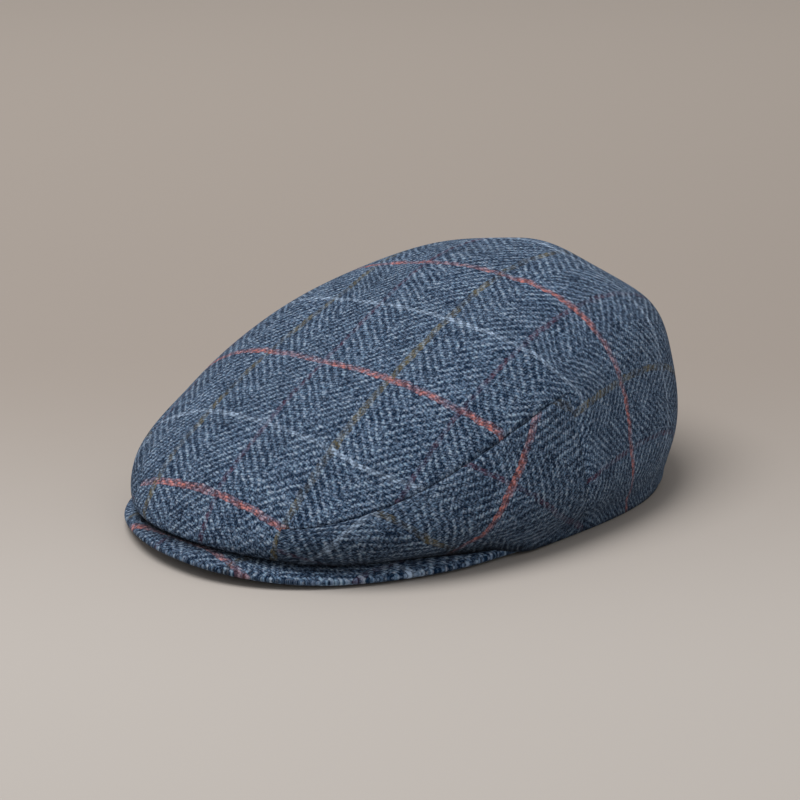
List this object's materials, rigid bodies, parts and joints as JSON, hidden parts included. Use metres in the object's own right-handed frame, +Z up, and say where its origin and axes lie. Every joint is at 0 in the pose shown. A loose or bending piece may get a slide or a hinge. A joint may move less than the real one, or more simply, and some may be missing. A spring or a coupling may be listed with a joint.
{
  "type": "flat cap",
  "caption": "Soft flat cap with a low rounded crown that slopes forward over a stiff peak, hollow inside, lying on its hem with the head opening below.",
  "frame": {"origin": "middle of the bottom of the bounding box, on the surface the cap lies on", "axes": "+Z up; the peak points along -Y and the back along +Y; the wearer's left side is along +X"},
  "size_m": [0.2046, 0.2688, 0.0985],
  "materials": {
    "top_tweed": "matte brushed wool",
    "side_tweed": "matte brushed wool",
    "peak_tweed": "matte brushed wool over board",
    "hem_tweed": "matte wool cloth"
  },
  "bodies": {
    "root": {"crown_top": "top_tweed", "side_left": "side_tweed", "side_right": "side_tweed", "peak": "peak_tweed", "hem_band": "hem_tweed"}
  },
  "joints": []
}
